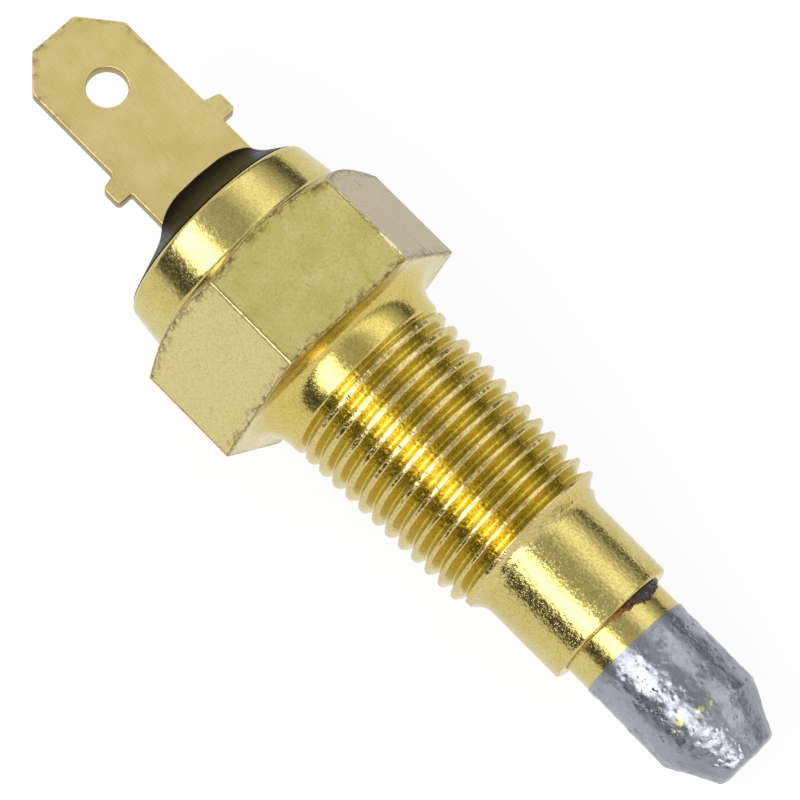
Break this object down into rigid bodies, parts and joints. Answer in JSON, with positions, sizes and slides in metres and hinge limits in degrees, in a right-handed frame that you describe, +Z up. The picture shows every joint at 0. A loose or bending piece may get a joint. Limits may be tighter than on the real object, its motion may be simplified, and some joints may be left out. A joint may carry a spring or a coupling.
{
  "type": "coolant temperature sensor",
  "caption": "Engine coolant temperature sender: brass hexagon body with taper pipe thread, tinned probe and one blade terminal.",
  "frame": {"origin": "on the surface it lies on, under the middle of the sensor's length and width", "axes": "+X from the probe towards the terminal, +Y across the blade, +Z up; the sensor's axis leans nose down by 8.14 degrees"},
  "size_m": [0.052, 0.0162, 0.0148],
  "materials": {
    "body_brass": "turned and bright-dipped",
    "blade_brass": "rolled sheet, satin",
    "probe_metal": "brass, dip-tinned over the nose",
    "lacquer": "red-brown lacquer, run",
    "potting": "black potting resin, self-levelled",
    "laminate": "phenolic",
    "thermistor": "sintered oxide with silvered faces",
    "spring_metal": "drawn phosphor bronze",
    "pin_brass": "turned"
  },
  "bodies": {
    "root": {"hex_body": "body_brass", "probe_thimble": "probe_metal", "joint_bead": "lacquer", "potting_resin": "potting", "blade_terminal": "blade_brass", "terminal_insulator": "laminate", "contact_pin": "pin_brass", "contact_spring": "spring_metal", "insulating_sleeve": "laminate", "thermistor_disc": "thermistor"}
  },
  "joints": []
}
